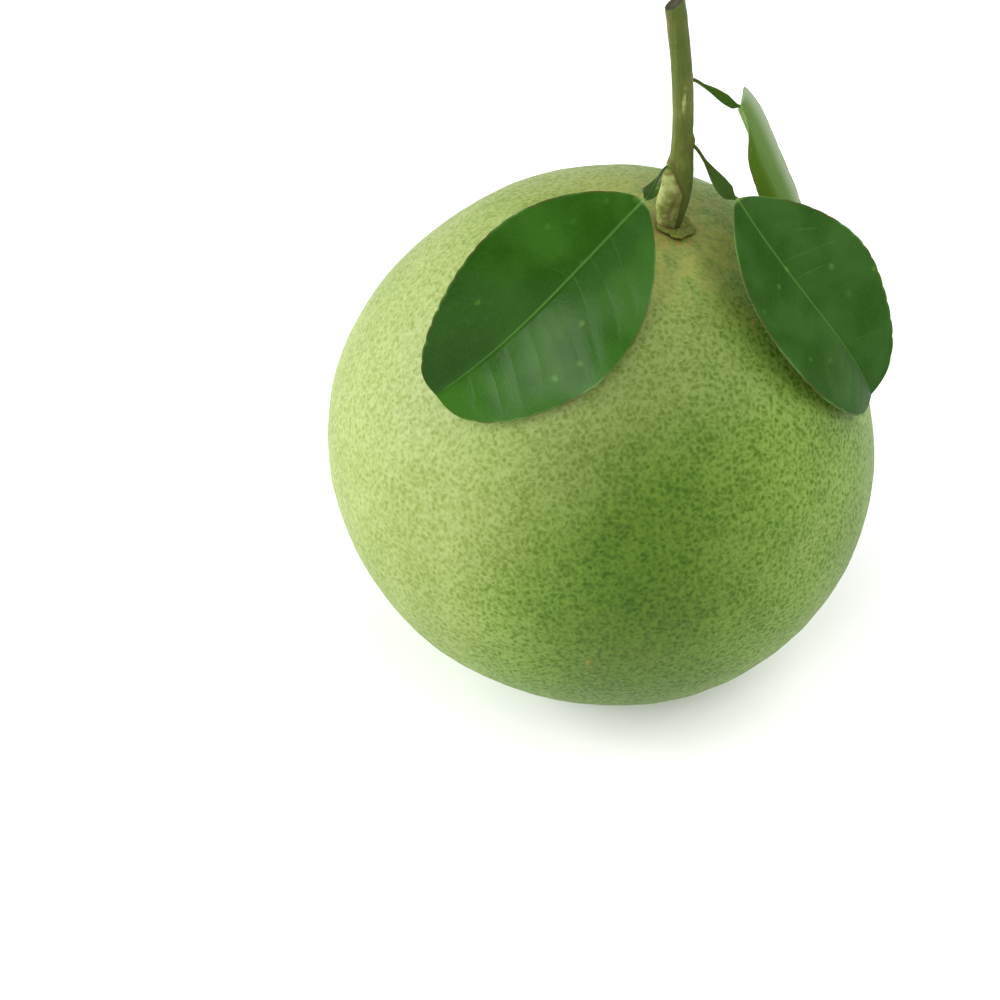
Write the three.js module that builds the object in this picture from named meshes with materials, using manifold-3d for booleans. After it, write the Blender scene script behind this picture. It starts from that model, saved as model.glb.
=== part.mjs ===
// A whole green pomelo, as picked: the fruit, the calyx at its stem end, a short woody twig, and three leaves
// with winged petioles. Millimetres, +Z up. The origin is the middle of the small flat spot that the fruit
// rests on.
import * as THREE from "three";
import { mergeVertices } from "three/addons/utils/BufferGeometryUtils.js";
import Module from "manifold-3d";

const wasm = await Module();
wasm.setup();

// ---- driving dimensions ----
const GAP = 0.3; // clearance between pieces that touch

const FRUIT_RADIUS = 77.2; // the rind's radius before the swells of its profile
const FRUIT_CENTRE = new THREE.Vector3(0.2, -0.2, 77);
const STEM_LEAN = 13.4; // degrees between the fruit's own axis and vertical
const STEM_AZIMUTH = -10.5; // degrees from +X towards which the stem end leans
const DIMPLE_DEPTH = 1.3; // the calyx sits in a shallow dimple
const DIMPLE_SPREAD = 5; // degrees from the stem end

const CALYX_RADIUS = 5.3;
const CALYX_THICKNESS = 1.7;
const CALYX_LOBES = 5;
const CALYX_LOBE_DEPTH = 0.08; // as a share of the radius

const TWIG_FOOT_RADIUS = 3.1;
const TWIG_LOW_RADIUS = 3.6; // between the calyx and the lowest leaf
const TWIG_TOP_RADIUS = 2.85;
const TWIG_OFFSET = 1.7; // the twig stands off the middle of the calyx
const TWIG_SLIMS_FROM = 165; // heights between which it slims from its low to its top radius
const TWIG_SLIMS_TO = 180;
const TWIG_CUT_SLANT = 0.5; // rise of the oblique cut across one radius, as a share of the radius

const BLADE_THICKNESS = 0.8;
const RIB_HALF_WIDTH = 1.3; // the midrib under a leaf blade
const RIB_DEPTH = 1.2; // of the midrib below the blade, near the joint
const STALK_HALF_WIDTH = 0.65; // a petiole where it has no wings
const STALK_THICKNESS = 1.4;
const STALK_FLARE = 0.6; // how much wider a petiole is at the twig, as a share
const WING_HALF_WIDTH = 2.5; // the leafy wings of a petiole
const CRENATION_PITCH = 5; // of the shallow rounded teeth along a blade's edge
const CRENATION_DEPTH = 0.5;

// ---- small helpers ----
const radians = THREE.MathUtils.degToRad;
const vector = ([x, y, z]) => new THREE.Vector3(x, y, z);
const swell = (x, centre, spread) => Math.exp(-(((x - centre) / spread) ** 2));

function closedGeometry(geometry) {
  const bare = geometry.index ? geometry.toNonIndexed() : geometry;
  bare.deleteAttribute("normal");
  bare.deleteAttribute("uv");
  return mergeVertices(bare, 1e-4);
}

function toSolid(closed) {
  return new wasm.Manifold(
    new wasm.Mesh({
      numProp: 3,
      vertProperties: closed.attributes.position.array,
      triVerts: new Uint32Array(closed.index.array),
    }),
  );
}

function toGeometry(solid) {
  const mesh = solid.getMesh();
  return new THREE.BufferGeometry()
    .setAttribute("position", new THREE.BufferAttribute(mesh.vertProperties, 3))
    .setIndex(new THREE.BufferAttribute(mesh.triVerts, 1));
}

// Moves every vertex of a geometry to place(vertex).
function reshape(geometry, place) {
  const position = geometry.attributes.position;
  const vertex = new THREE.Vector3();
  for (let i = 0; i < position.count; i++) {
    vertex.fromBufferAttribute(position, i);
    const moved = place(vertex.clone());
    position.setXYZ(i, moved.x, moved.y, moved.z);
  }
  return geometry;
}

// ---- fruit ----
// The fruit's own axis, from its centre to the stem end, and two directions square to it.
const lean = radians(STEM_LEAN);
const azimuth = radians(STEM_AZIMUTH);
const UP = new THREE.Vector3(0, 0, 1);
const AXIS = vector([Math.sin(lean), 0, Math.cos(lean)]).applyAxisAngle(UP, azimuth);
const ACROSS = vector([Math.cos(lean), 0, -Math.sin(lean)]).applyAxisAngle(UP, azimuth);
const ALONG = AXIS.clone().cross(ACROSS);

// How the profile departs from a sphere: each share of the radius swells around an angle from the stem end.
const PROFILE_SWELLS = [
  { share: -0.008, at: 66, spread: 16 }, // slight waist under the shoulder
  { share: 0.046, at: 110, spread: 35 }, // belly
  { share: 0.016, at: 180, spread: 35 }, // blossom end
];
// Broad unevenness of the rind, in millimetres, with a number of lobes around the axis.
const RIND_LOBES = [
  { height: 1.1, lobes: 3, phase: 2.04, at: 60, spread: 35 },
  { height: 0.3, lobes: 5, phase: 4.0, at: 125, spread: 30 },
  { height: 0.9, lobes: 8, phase: 1.0, at: 15, spread: 8 },
];

// Radius of the rind at polar (degrees from the stem end) and around (radians about the axis).
function rindRadius(polar, around) {
  let radius = FRUIT_RADIUS;
  for (const s of PROFILE_SWELLS) radius += FRUIT_RADIUS * s.share * swell(polar, s.at, s.spread);
  for (const l of RIND_LOBES) {
    const share = Math.sin(radians(polar)) * swell(polar, l.at, l.spread);
    radius += l.height * share * Math.cos(l.lobes * around + l.phase);
  }
  return radius - DIMPLE_DEPTH * swell(polar, 0, DIMPLE_SPREAD);
}

// A point above the rind by height, along the line from the fruit's centre.
function rindPoint(polar, around, height = 0) {
  const angle = radians(polar);
  return ACROSS.clone()
    .multiplyScalar(Math.sin(angle) * Math.cos(around))
    .addScaledVector(ALONG, Math.sin(angle) * Math.sin(around))
    .addScaledVector(AXIS, Math.cos(angle))
    .multiplyScalar(rindRadius(polar, around) + height)
    .add(FRUIT_CENTRE);
}

const SEGMENTS_AROUND = 72;
const STEM_RINGS = [0, 1.5, 3, 4.5, 6.5, 9, 12, 15.5]; // degrees, closer together round the dimple
const BODY_RINGS = 34;
const GROUND_SIZE = 200;

function fruitGeometry() {
  const rings = [...STEM_RINGS];
  for (let i = 1; i <= BODY_RINGS; i++) {
    rings.push(THREE.MathUtils.lerp(STEM_RINGS.at(-1), 180, i / BODY_RINGS));
  }
  const last = rings.length - 1;
  const ball = closedGeometry(new THREE.SphereGeometry(1, SEGMENTS_AROUND, last));
  reshape(ball, (p) => {
    const ring = Math.round((Math.acos(THREE.MathUtils.clamp(p.y, -1, 1)) / Math.PI) * last);
    return rindPoint(rings[ring], Math.atan2(-p.z, p.x));
  });
  const ground = new THREE.BoxGeometry(GROUND_SIZE, GROUND_SIZE, GROUND_SIZE);
  ground.translate(0, 0, -GROUND_SIZE / 2);
  return toGeometry(toSolid(ball).subtract(toSolid(closedGeometry(ground))));
}

// ---- calyx ----
// The button of five lobes between the fruit and the twig, following the dimple that it sits in.
const CALYX_ROUNDING = 0.6;

function calyxGeometry() {
  const button = closedGeometry(new THREE.SphereGeometry(1, 40, 10));
  return reshape(button, (p) => {
    const around = Math.atan2(-p.z, p.x);
    const edge = CALYX_RADIUS * (1 + CALYX_LOBE_DEPTH * Math.cos(CALYX_LOBES * around));
    const out = edge * Math.hypot(p.x, p.z);
    const polar = THREE.MathUtils.radToDeg(out / FRUIT_RADIUS);
    const rise = Math.sign(p.y) * Math.abs(p.y) ** CALYX_ROUNDING;
    return rindPoint(polar, around, GAP + (CALYX_THICKNESS / 2) * (1 + rise));
  });
}

// ---- twig ----
const TWIG_FOOT = rindPoint(0, 0, CALYX_THICKNESS + 2.5 * GAP).addScaledVector(ACROSS, -TWIG_OFFSET);
const TWIG_PATH = new THREE.CubicBezierCurve3(
  TWIG_FOOT,
  vector([19.7, -3.4, 171.8]),
  vector([19.5, -3.4, 196.3]),
  vector([15.3, -3.4, 223.7]),
);
// Below each leaf a ridge runs down the twig: the height of the leaf, its direction about the twig in
// degrees, and the ridge's height.
const TWIG_RIDGES = [
  { top: 173, toward: 203, height: 1.2 },
  { top: 181, toward: -20, height: 0.4 },
  { top: 199, toward: 34, height: 0.2 },
];
const RIDGE_SPREAD = 35; // degrees
const RIDGE_FADE = 3; // millimetres over which a ridge ends above its leaf
const FOOT_TAPER = 5; // millimetres over which the twig draws in to its foot
const CUT_REACH = 24; // the higher this power, the less the cut's slant carries down the twig

function twigRadius(height, toward) {
  const foot = swell(height, TWIG_FOOT.z, FOOT_TAPER);
  const upper = THREE.MathUtils.smoothstep(height, TWIG_SLIMS_FROM, TWIG_SLIMS_TO);
  let radius = THREE.MathUtils.lerp(TWIG_LOW_RADIUS, TWIG_TOP_RADIUS, upper);
  radius = THREE.MathUtils.lerp(radius, TWIG_FOOT_RADIUS, foot);
  for (const ridge of TWIG_RIDGES) {
    const turn = THREE.MathUtils.euclideanModulo(toward - ridge.toward + 180, 360) - 180;
    const below = 1 - THREE.MathUtils.smoothstep(height, ridge.top - RIDGE_FADE, ridge.top + RIDGE_FADE);
    radius += ridge.height * below * swell(turn, 0, RIDGE_SPREAD) * (1 - foot);
  }
  return radius;
}

// A point on the twig's surface, or off it by gap, at a share of its length and a direction about it in
// degrees.
function twigPoint(share, toward, gap = 0) {
  const tangent = TWIG_PATH.getTangent(share);
  const east = vector([1, 0, 0]).addScaledVector(tangent, -tangent.x).normalize();
  const north = tangent.clone().cross(east);
  const centre = TWIG_PATH.getPoint(share);
  const angle = radians(toward);
  const radius = twigRadius(centre.z, toward) + gap;
  return {
    centre,
    tangent,
    point: centre
      .clone()
      .addScaledVector(east, radius * Math.cos(angle))
      .addScaledVector(north, radius * Math.sin(angle)),
  };
}

function twigGeometry() {
  const rod = closedGeometry(new THREE.CylinderGeometry(1, 1, 1, 24, 30));
  return reshape(rod, (p) => {
    const share = p.y + 0.5;
    const toward = THREE.MathUtils.radToDeg(Math.atan2(-p.z, p.x));
    const out = Math.hypot(p.x, p.z);
    const { centre, tangent, point } = twigPoint(share, toward);
    const slant = TWIG_CUT_SLANT * TWIG_TOP_RADIUS * p.x * share ** CUT_REACH;
    return centre.lerp(point, out).addScaledVector(tangent, slant);
  });
}

// ---- leaves ----
// A leaf is one piece: a petiole from the twig to a joint, with leafy wings, then the blade from the joint to
// the tip. The petiole leaves the twig square to it, at a share of the twig's length and a direction about it
// in degrees, and bends past one point to the joint. The blade's midrib is a cubic curve. Face gives the way
// the leaf's upper side looks at the twig, at the joint and at the tip. The blade folds up along its midrib by
// an angle in degrees, and droops by another on the way out to its edge.
const LEAVES = {
  leaf_front: {
    petiole: { share: 0.318, toward: 203, past: [11.4, -16.5, 172.8] },
    blade: [[7.8, -22.4, 174.1], [-13.9, -38.8, 158.4], [-27.8, -46.9, 144.1], [-47.9, -48, 128.1]],
    face: [[-0.6, 0, 0.75], [0.13, -0.77, 0.63], [0.17, -0.89, 0.42]],
    halfWidth: 25.8,
    fold: 20,
    droop: 10,
    wave: { height: 0.5, count: 2.2, phase: 0.4 },
  },
  leaf_right: {
    petiole: { share: 0.42, toward: -20, past: [28.2, -7.3, 166.2] },
    blade: [[33.9, -8.6, 164.8], [49, -20.8, 143.9], [66.9, -22.6, 125.8], [73.5, -19.2, 105.5]],
    face: [[0.4, -0.6, 0.7], [0.47, -0.44, 0.77], [0.68, -0.54, 0.5]],
    halfWidth: 24.1,
    fold: 15.5,
    droop: 8.5,
    wave: { height: 0.5, count: 1.8, phase: 2.4 },
  },
  leaf_back: {
    petiole: { share: 0.685, toward: 34, past: [27.6, 4.5, 188.4] },
    blade: [[35, 7, 184.4], [36.4, 7.7, 181.4], [39.3, 9.8, 168.1], [55.4, 15.3, 133.4]],
    face: [[0.5, -0.2, 0.85], [0.82, -0.02, 0.57], [0.88, -0.35, 0.31]],
    halfWidth: 14.5,
    fold: 10,
    droop: 20.5,
    wave: { height: 0.3, count: 2, phase: 1.2 },
  },
};
const PETIOLE_START = 2; // millimetres from the twig over which a petiole keeps its first direction
const PETIOLE_TURN = 8; // the higher this power, the closer to the joint a petiole turns to its blade's face
const PETIOLE_STEPS = 12;
const STEPS_PER_TOOTH = 3;
const EDGE_COLUMNS = [1 / 3, 2 / 3, 1]; // from the rib's side to the blade's edge

// Half-width of an elliptic blade with a blunt tip, as a share of its widest, at a share of its length.
function bladeOutline(share) {
  const inside = THREE.MathUtils.clamp(share, 1e-4, 1 - 1e-4);
  return Math.sin(Math.PI * inside ** 0.9) ** (0.75 - 0.33 * inside);
}

// How far a blade's edge draws in between its rounded teeth, which are strongest towards the tip.
function crenation(share, teeth) {
  const notch = 1 - Math.abs(Math.sin(Math.PI * teeth * share)) ** 0.6;
  return CRENATION_DEPTH * notch * (0.4 + 0.6 * share);
}

// Half-width of a petiole, slender but for its flared root and, near the joint, its pair of wings.
function wingOutline(share) {
  const wings = THREE.MathUtils.smoothstep(share, 0.3, 0.75) * (1 - THREE.MathUtils.smoothstep(share, 0.82, 1));
  const stalk = STALK_HALF_WIDTH * (1 + STALK_FLARE * swell(share, 0, 0.08));
  return THREE.MathUtils.lerp(stalk, WING_HALF_WIDTH, wings);
}

// The two curves of a leaf's midrib, through the petiole and through the blade.
function leafPaths(leaf) {
  const { share, toward, past } = leaf.petiole;
  const { centre, point } = twigPoint(share, toward, 1.5 * GAP);
  const outward = point.clone().sub(centre).normalize();
  const start = point.clone().addScaledVector(outward, PETIOLE_START);
  return {
    petiole: new THREE.CubicBezierCurve3(point, start, vector(past), vector(leaf.blade[0])),
    blade: new THREE.CubicBezierCurve3(...leaf.blade.map(vector)),
  };
}

// One cross-section of a leaf: its place, its frame, its half-width and its thickness.
function leafStation(leaf, paths, part, share, teeth) {
  const path = paths[part];
  const tangent = path.getTangent(share);
  const inBlade = part === "blade";
  const [from, to] = inBlade ? leaf.face.slice(1) : leaf.face.slice(0, 2);
  const turned = inBlade ? share : share ** PETIOLE_TURN;
  const face = vector(from).lerp(vector(to), turned);
  face.addScaledVector(tangent, -face.dot(tangent)).normalize();
  const blade = leaf.halfWidth * bladeOutline(share) - crenation(share, teeth);
  const ripple = leaf.wave.height * Math.sin(2 * Math.PI * leaf.wave.count * share + leaf.wave.phase);
  return {
    centre: path.getPoint(share),
    face,
    side: face.clone().cross(tangent),
    width: Math.max(STALK_HALF_WIDTH, inBlade ? blade : wingOutline(share)),
    rib: inBlade ? RIB_DEPTH * (1 - share) ** 0.7 : STALK_THICKNESS - BLADE_THICKNESS,
    wave: inBlade ? ripple : 0,
  };
}

// A point of the leaf's upper (+1) or under (-1) face, offset sideways from the midrib.
function leafPoint(leaf, station, offset, upper) {
  const out = Math.abs(offset);
  const bend = radians(leaf.droop) / leaf.halfWidth;
  const start = radians(leaf.fold);
  const across = (Math.sin(start) - Math.sin(start - bend * out)) / bend;
  const rise = (Math.cos(start - bend * out) - Math.cos(start)) / bend;
  const edge = out / leaf.halfWidth;
  const rib = upper > 0 ? 0 : station.rib * swell(out, 0, RIB_HALF_WIDTH * 0.7);
  return station.centre
    .clone()
    .addScaledVector(station.side, Math.sign(offset) * across)
    .addScaledVector(station.face, rise + station.wave * edge ** 2 + (upper * BLADE_THICKNESS) / 2 - rib);
}

// Two matching skins, upper and under, split into triangles alike and sewn along their edge.
function leafGeometry(leaf) {
  const paths = leafPaths(leaf);
  const teeth = Math.round(paths.blade.getLength() / CRENATION_PITCH);
  const bladeSteps = teeth * STEPS_PER_TOOTH;
  const stations = [];
  for (let i = 0; i < PETIOLE_STEPS; i++) {
    stations.push(leafStation(leaf, paths, "petiole", i / PETIOLE_STEPS, teeth));
  }
  for (let i = 0; i <= bladeSteps; i++) {
    stations.push(leafStation(leaf, paths, "blade", i / bladeSteps, teeth));
  }

  const rows = stations.length;
  const skins = [1, -1].map((upper) =>
    stations.map((station) => {
      const inner = Math.min(RIB_HALF_WIDTH, 0.45 * station.width);
      const half = [inner, ...EDGE_COLUMNS.map((share) => inner + (station.width - inner) * share)];
      const offsets = [...half.map((x) => -x).reverse(), 0, ...half];
      return offsets.map((offset) => leafPoint(leaf, station, offset, upper));
    }),
  );
  const columns = skins[0][0].length;
  const triangles = [];
  const quad = (a, b, c, d) => triangles.push(a, b, c, a, c, d);
  const [top, bottom] = skins;
  for (let r = 0; r + 1 < rows; r++) {
    for (let c = 0; c + 1 < columns; c++) {
      quad(top[r][c], top[r + 1][c], top[r + 1][c + 1], top[r][c + 1]);
      triangles.push(bottom[r][c], bottom[r + 1][c + 1], bottom[r + 1][c]);
      triangles.push(bottom[r][c], bottom[r][c + 1], bottom[r + 1][c + 1]);
    }
    const last = columns - 1;
    quad(top[r][0], bottom[r][0], bottom[r + 1][0], top[r + 1][0]);
    quad(top[r][last], top[r + 1][last], bottom[r + 1][last], bottom[r][last]);
  }
  for (let c = 0; c + 1 < columns; c++) {
    const end = rows - 1;
    quad(top[0][c], top[0][c + 1], bottom[0][c + 1], bottom[0][c]);
    quad(top[end][c], bottom[end][c], bottom[end][c + 1], top[end][c + 1]);
  }
  return closedGeometry(new THREE.BufferGeometry().setFromPoints(triangles));
}

// ---- materials ----
const material = (color, roughness) => new THREE.MeshStandardMaterial({ color, roughness, metalness: 0 });
const RIND = material(0x8fae4a, 0.5);
const BARK = material(0x6b7433, 0.7);
const CALYX = material(0x8a8f3c, 0.7);
const LEAF = material(0x33661e, 0.4);

// ---- assembly ----
function named(name, geometry, finish) {
  const mesh = new THREE.Mesh(geometry, finish);
  mesh.name = name;
  return mesh;
}

const pomelo = new THREE.Group();
pomelo.add(named("fruit", fruitGeometry(), RIND));
pomelo.add(named("calyx", calyxGeometry(), CALYX));
pomelo.add(named("twig", twigGeometry(), BARK));
for (const [name, leaf] of Object.entries(LEAVES)) pomelo.add(named(name, leafGeometry(leaf), LEAF));

export default pomelo;
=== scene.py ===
"""A whole green pomelo with its calyx, a woody twig and three leaves with winged petioles, on a white floor.

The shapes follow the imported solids. Lengths are in millimetres, except in a finished mesh, in the places and
distances of a material and in the lights, where they are in metres. Angles are in degrees, except those named
angle or around.
"""

import math
import bpy
import numpy as np
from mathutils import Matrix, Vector, noise


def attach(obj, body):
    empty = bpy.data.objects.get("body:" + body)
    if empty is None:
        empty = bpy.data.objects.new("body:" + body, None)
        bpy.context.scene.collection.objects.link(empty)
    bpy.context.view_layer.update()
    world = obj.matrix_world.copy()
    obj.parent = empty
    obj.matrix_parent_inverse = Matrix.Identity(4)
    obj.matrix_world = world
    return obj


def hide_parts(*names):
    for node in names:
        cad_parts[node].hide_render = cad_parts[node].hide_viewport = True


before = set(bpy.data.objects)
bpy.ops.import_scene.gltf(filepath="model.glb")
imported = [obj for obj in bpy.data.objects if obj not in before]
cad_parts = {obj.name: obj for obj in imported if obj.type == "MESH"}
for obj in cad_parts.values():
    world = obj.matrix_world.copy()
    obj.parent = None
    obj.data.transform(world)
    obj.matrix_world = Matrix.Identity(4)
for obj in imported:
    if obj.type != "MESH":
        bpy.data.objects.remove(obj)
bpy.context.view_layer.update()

MM = 0.001
GAP = 0.3  # between two solids
SHARP_EDGE = 50  # an edge that turns by more than this many degrees stays sharp

# ---------------------------------------------------------------- helpers


def unit(v):
    v = np.asarray(v, float)
    return v / np.linalg.norm(v, axis=-1, keepdims=True)


def swell(x, centre, spread):
    return np.exp(-(((x - centre) / spread) ** 2))


def smooth(x, low, high):
    t = np.clip((x - low) / (high - low), 0, 1)
    return t * t * (3 - 2 * t)


def mix(a, b, share):
    return a + (b - a) * share


def turned(v, angle):
    """v turned about Z."""
    c, s = math.cos(angle), math.sin(angle)
    return np.array([c * v[0] - s * v[1], s * v[0] + c * v[1], v[2]])


class Curve:
    """A cubic Bezier curve through space."""

    def __init__(self, *points):
        self.points = np.array(points, float)

    def at(self, t):
        t = np.asarray(t, float)[..., None]
        a, b, c, d = self.points
        return (1 - t) ** 3 * a + 3 * (1 - t) ** 2 * t * b + 3 * (1 - t) * t**2 * c + t**3 * d

    def tangent(self, t):
        t = np.asarray(t, float)[..., None]
        a, b, c, d = self.points
        return unit(3 * (1 - t) ** 2 * (b - a) + 6 * (1 - t) * t * (c - b) + 3 * t**2 * (d - c))

    def length(self):
        steps = self.at(np.linspace(0, 1, 201))
        return np.linalg.norm(np.diff(steps, axis=0), axis=1).sum()


def rough(points, size, seed):
    """Smooth noise from -1 to 1 at each point, with features of about that size."""
    flat = (np.asarray(points) / size).reshape(-1, 3) + seed
    return np.array([noise.noise(Vector(p)) for p in flat]).reshape(np.shape(points)[:-1])


def fans(polygons):
    """The polygons of one group, each cut into triangles from its first corner."""
    return [polygons[:, (0, i, i + 1)] for i in range(1, polygons.shape[1] - 1)]


def make_piece(name, points, groups, material, floats):
    """A smooth mesh piece in metres that stands for the CAD node of that name, facing outwards.

    groups holds arrays of polygons, each with one number of corners. floats holds one value a point.
    """
    points = np.asarray(points, float)
    triangles = np.vstack([part for polygons in groups for part in fans(polygons)])
    first, second, third = (points[triangles[:, i]] for i in range(3))
    volume = np.sum(first * np.cross(second, third))
    faces = [f for polygons in groups for f in (polygons if volume > 0 else polygons[:, ::-1]).tolist()]
    mesh = bpy.data.meshes.new(name)
    mesh.from_pydata((points * MM).tolist(), [], faces)
    for attribute, values in floats.items():
        layer = mesh.attributes.new(attribute, "FLOAT", "POINT")
        layer.data.foreach_set("value", np.asarray(values, np.float32).ravel())
    mesh.materials.append(material)
    mesh.shade_smooth()
    mesh.set_sharp_from_angle(angle=math.radians(SHARP_EDGE))
    mesh.validate()
    piece = bpy.data.objects.new(name + "_look", mesh)
    bpy.context.scene.collection.objects.link(piece)
    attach(piece, "root")
    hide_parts(name)


def make_ball(name, rings, poles, material, floats=None):
    """A closed piece of rings, one row of points each, from the first pole to the last."""
    rows, columns = rings.shape[:2]
    points = np.vstack([rings.reshape(-1, 3), poles])
    index = np.arange(rows * columns).reshape(rows, columns)
    after = np.roll(index, -1, axis=1)
    quads = np.stack([index[:-1], after[:-1], after[1:], index[1:]], axis=-1).reshape(-1, 4)
    first, last = rows * columns, rows * columns + 1
    ends = [
        np.stack([np.full(columns, first), after[0], index[0]], axis=-1),
        np.stack([np.full(columns, last), index[-1], after[-1]], axis=-1),
    ]
    make_piece(name, points, [quads, np.vstack(ends)], material, floats or {})


# ---------------------------------------------------------------- materials


class Surface:
    """A procedural material: a Principled shader and the nodes that feed it."""

    def __init__(self, name, **constants):
        self.material = bpy.data.materials.new(name)
        self.material.use_nodes = True
        self.nodes = self.material.node_tree.nodes
        self.links = self.material.node_tree.links
        self.shader = self.nodes["Principled BSDF"]
        self.place = self.add("ShaderNodeTexCoord").outputs["Object"]
        for socket, value in constants.items():
            self.shader.inputs[socket.replace("_", " ")].default_value = value

    def add(self, kind, settings=None, inputs=None):
        node = self.nodes.new(kind)
        for key, value in (settings or {}).items():
            setattr(node, key, value)
        for key, value in (inputs or {}).items():
            self.feed(node.inputs[key], value)
        return node

    def feed(self, socket, value):
        if isinstance(value, bpy.types.NodeSocket):
            self.links.new(value, socket)
        elif isinstance(value, tuple) and len(value) == 3 and socket.type == "RGBA":
            socket.default_value = (*value, 1)
        else:
            socket.default_value = value

    def math(self, operation, a, b=0.0, clamp=False):
        node = self.add("ShaderNodeMath", {"operation": operation, "use_clamp": clamp}, {0: a, 1: b})
        return node.outputs[0]

    def times(self, a, b):
        return self.math("MULTIPLY", a, b)

    def plus(self, a, b, clamp=False):
        return self.math("ADD", a, b, clamp)

    def vector(self, operation, a, b, output="Vector"):
        return self.add("ShaderNodeVectorMath", {"operation": operation}, {0: a, 1: b}).outputs[output]

    def distance(self, place, point):
        return self.vector("DISTANCE", place, tuple(point), "Value")

    def step(self, value, low, high, start=0.0, end=1.0):
        """A smooth step of value from low to high, between start and end."""
        inputs = {"Value": value, "From Min": low, "From Max": high, "To Min": start, "To Max": end}
        return self.add("ShaderNodeMapRange", {"interpolation_type": "SMOOTHSTEP"}, inputs).outputs["Result"]

    def blend(self, share, a, b, kind="MIX"):
        node = self.add("ShaderNodeMix", {"data_type": "RGBA", "blend_type": kind})
        for index, value in ((0, share), (6, a), (7, b)):  # the factor and the two colours
            self.feed(node.inputs[index], value)
        return node.outputs[2]

    def noise(self, size, detail=2.0, roughness=0.5, place=None, stretch=None):
        """Noise with features of about that size in millimetres."""
        place = self.place if place is None else place
        if stretch:
            place = self.vector("MULTIPLY", place, stretch)
        inputs = {"Vector": place, "Scale": 1 / (size * MM), "Detail": detail, "Roughness": roughness}
        return self.add("ShaderNodeTexNoise", None, inputs).outputs["Fac"]

    def warped(self, size, reach):
        """The place of each point, moved about by up to reach millimetres."""
        inputs = {"Vector": self.place, "Scale": 1 / (size * MM), "Detail": 1.0}
        wander = self.add("ShaderNodeTexNoise", None, inputs).outputs["Color"]
        inputs = {0: self.vector("SUBTRACT", wander, (0.5, 0.5, 0.5)), "Scale": 2 * reach * MM}
        scaled = self.add("ShaderNodeVectorMath", {"operation": "SCALE"}, inputs)
        return self.vector("ADD", self.place, scaled.outputs[0])

    def cells(self, size, feature="F1", place=None, randomness=1.0):
        """Cells of about that size in millimetres."""
        inputs = {
            "Vector": self.place if place is None else place,
            "Scale": 1 / (size * MM),
            "Randomness": randomness,
        }
        return self.add("ShaderNodeTexVoronoi", {"feature": feature}, inputs)

    def spots(self, cells, channel, low, high, rare_from, rare_to):
        """A spot in the middle of some of the cells, full to the distance low and gone at high.

        channel picks the random number that makes a cell bare below rare_from and full from rare_to.
        """
        chance = self.add("ShaderNodeSeparateColor", None, {0: cells.outputs["Color"]}).outputs[channel]
        spot = self.step(cells.outputs["Distance"], low, high, 1.0, 0.0)
        return self.times(spot, self.step(chance, rare_from, rare_to))

    def value(self, name):
        """A float of the mesh's points."""
        return self.add("ShaderNodeAttribute", {"attribute_name": name}).outputs["Fac"]

    def finish(self, colour, roughness, height, depth):
        """depth is how far the bump's height reaches, in millimetres."""
        self.feed(self.shader.inputs["Base Color"], colour)
        self.feed(self.shader.inputs["Roughness"], roughness)
        bump = self.add("ShaderNodeBump", None, {"Height": height, "Distance": depth * MM, "Strength": 1.0})
        self.feed(self.shader.inputs["Normal"], bump.outputs["Normal"])
        return self.material


# ---------------------------------------------------------------- fruit

FRUIT_RADIUS = 77.2
FRUIT_CENTRE = np.array([0.2, -0.2, 77.0])
LEAN, AZIMUTH = math.radians(13.4), math.radians(-10.5)
AXIS = turned((math.sin(LEAN), 0, math.cos(LEAN)), AZIMUTH)
ACROSS = turned((math.cos(LEAN), 0, -math.sin(LEAN)), AZIMUTH)
ALONG = np.cross(AXIS, ACROSS)
DIMPLE_DEPTH, DIMPLE_SPREAD = 1.3, 5

# share of the radius, degrees from the stem end, spread
PROFILE_SWELLS = [(-0.008, 66, 16), (0.046, 110, 35), (0.016, 180, 35)]
# height, lobes, phase, degrees from the stem end, spread
RIND_LOBES = [(1.1, 3, 2.04, 60, 35), (0.3, 5, 4.0, 125, 30), (0.9, 8, 1.0, 15, 8)]

FRUIT_COLUMNS, FRUIT_ROWS = 384, 255
ROW_CROWDING = 1.12  # above 1, the rows lie closer together near the stem end
# unevenness of the rind: height, size, seed, and the angle from the stem end at which it is full
RIND_RELIEF, RIND_RELIEF_FULL = [(0.14, 5, 3.7), (0.22, 17, 8.1)], 12
# fine creases that run out from the calyx: number, height, degrees from the stem end, spread
PUCKERS, PUCKER_HEIGHT, PUCKER_PLACE, PUCKER_SPREAD = 13, 0.16, 11, 4

# besides the peel's own greens, the net colours hold a painted bluish sheen and the pit colours a painted
# shade
PEEL_PIT, PEEL_PIT_YELLOW = (0.056, 0.124, 0.002), (0.138, 0.190, 0.030)
PEEL_NET, PEEL_NET_YELLOW = (0.186, 0.288, 0.052), (0.254, 0.304, 0.108)
LINE_SHARE, AROUND_PIT_SHARE, GRAIN_SHARE = 0.34, 0.42, 0.24
# the side towards the key lamp: yellower in its own colour, and paler with painted light and sheen
SUNNY_AND_LIT_SIDE = (-0.8, 0.0, 0.6)
# painted shade: a deeper green area low on the front, where the fruit lies in shade; taller than wide, so its
# distances are stretched
PAINTED_SHADE_PLACE, PAINTED_SHADE_STRETCH = np.array([0.008, -0.072, 0.078]), np.array([1.4, 1.0, 0.7])
PAINTED_SHADE_REACH, PAINTED_SHADE_TINT = 0.076, (0.40, 0.49, 0.16)
RUSSET, RUSSET_SHARE = (0.32, 0.30, 0.075), 0.65
RING_BROWN = (0.30, 0.16, 0.05)
FLECK_RUST, FLECK_SHARE = (0.38, 0.24, 0.06), 0.55
PEEL_BUMP = 0.07


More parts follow.
